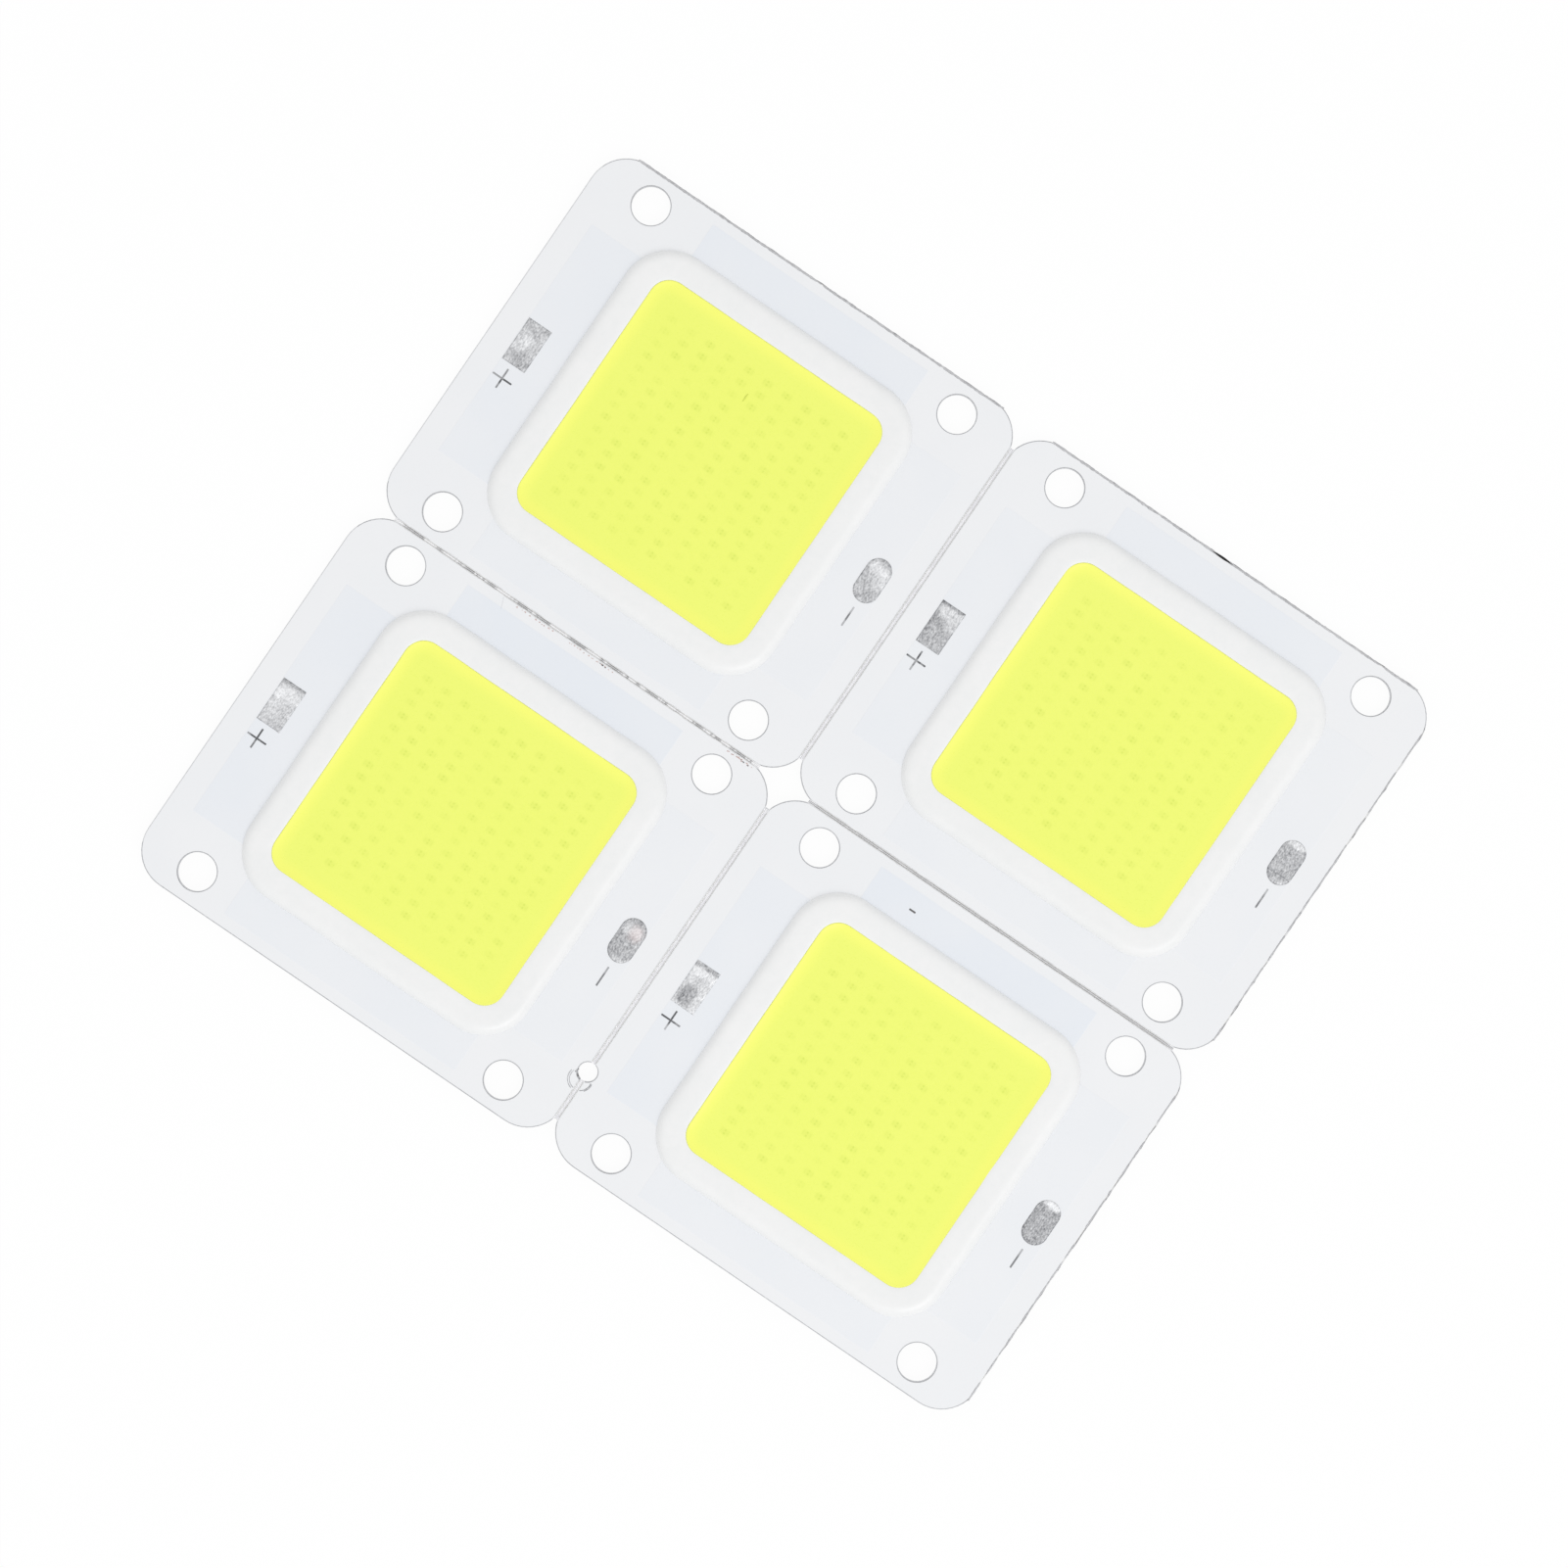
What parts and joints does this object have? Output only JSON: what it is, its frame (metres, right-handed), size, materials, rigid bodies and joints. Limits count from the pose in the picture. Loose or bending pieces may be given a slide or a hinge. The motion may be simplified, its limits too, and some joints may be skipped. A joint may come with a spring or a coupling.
{
  "type": "chip-on-board led module sheet",
  "caption": "Sheet of chip-on-board LED modules on scored aluminium, each a yellow phosphor field in a white silicone dam with solder pads and corner holes.",
  "frame": {"origin": "middle of the sheet's back face", "axes": "+Z out of the light-giving side, +X from the plus pads to the minus pads, +Y to the modules' upper edge"},
  "size_m": [0.092, 0.08, 0.0019],
  "materials": {
    "aluminium_plate": "rolled sheet, satin, with cut and torn edges",
    "insulation": "ceramic-filled resin, matt",
    "copper": "copper foil, etched",
    "solder_mask": "white mask, satin",
    "tin": "tin coat, dull and mottled",
    "led_chip": "sapphire chip, polished",
    "bond_wire": "gold wire, drawn",
    "silicone_dam": "white silicone bead, soft satin",
    "phosphor_gel": "yellow-green phosphor in clear silicone, satin"
  },
  "bodies": {
    "root": {"base_plate": "aluminium_plate", "insulation_1": "insulation", "plus_copper_1": "copper", "minus_copper_1": "copper", "upper_copper_1": "copper", "lower_copper_1": "copper", "solder_mask_1": "solder_mask", "plus_pad_1": "tin", "minus_pad_1": "tin", "led_chips_1": "led_chip", "bond_wires_1": "bond_wire", "silicone_dam_1": "silicone_dam", "phosphor_gel_1": "phosphor_gel", "insulation_2": "insulation", "plus_copper_2": "copper", "minus_copper_2": "copper", "upper_copper_2": "copper", "lower_copper_2": "copper", "solder_mask_2": "solder_mask", "plus_pad_2": "tin", "minus_pad_2": "tin", "led_chips_2": "led_chip", "bond_wires_2": "bond_wire", "silicone_dam_2": "silicone_dam", "phosphor_gel_2": "phosphor_gel", "insulation_3": "insulation", "plus_copper_3": "copper", "minus_copper_3": "copper", "upper_copper_3": "copper", "lower_copper_3": "copper", "solder_mask_3": "solder_mask", "plus_pad_3": "tin", "minus_pad_3": "tin", "led_chips_3": "led_chip", "bond_wires_3": "bond_wire", "silicone_dam_3": "silicone_dam", "phosphor_gel_3": "phosphor_gel", "insulation_4": "insulation", "plus_copper_4": "copper", "minus_copper_4": "copper", "upper_copper_4": "copper", "lower_copper_4": "copper", "solder_mask_4": "solder_mask", "plus_pad_4": "tin", "minus_pad_4": "tin", "led_chips_4": "led_chip", "bond_wires_4": "bond_wire", "silicone_dam_4": "silicone_dam", "phosphor_gel_4": "phosphor_gel"}
  },
  "joints": []
}
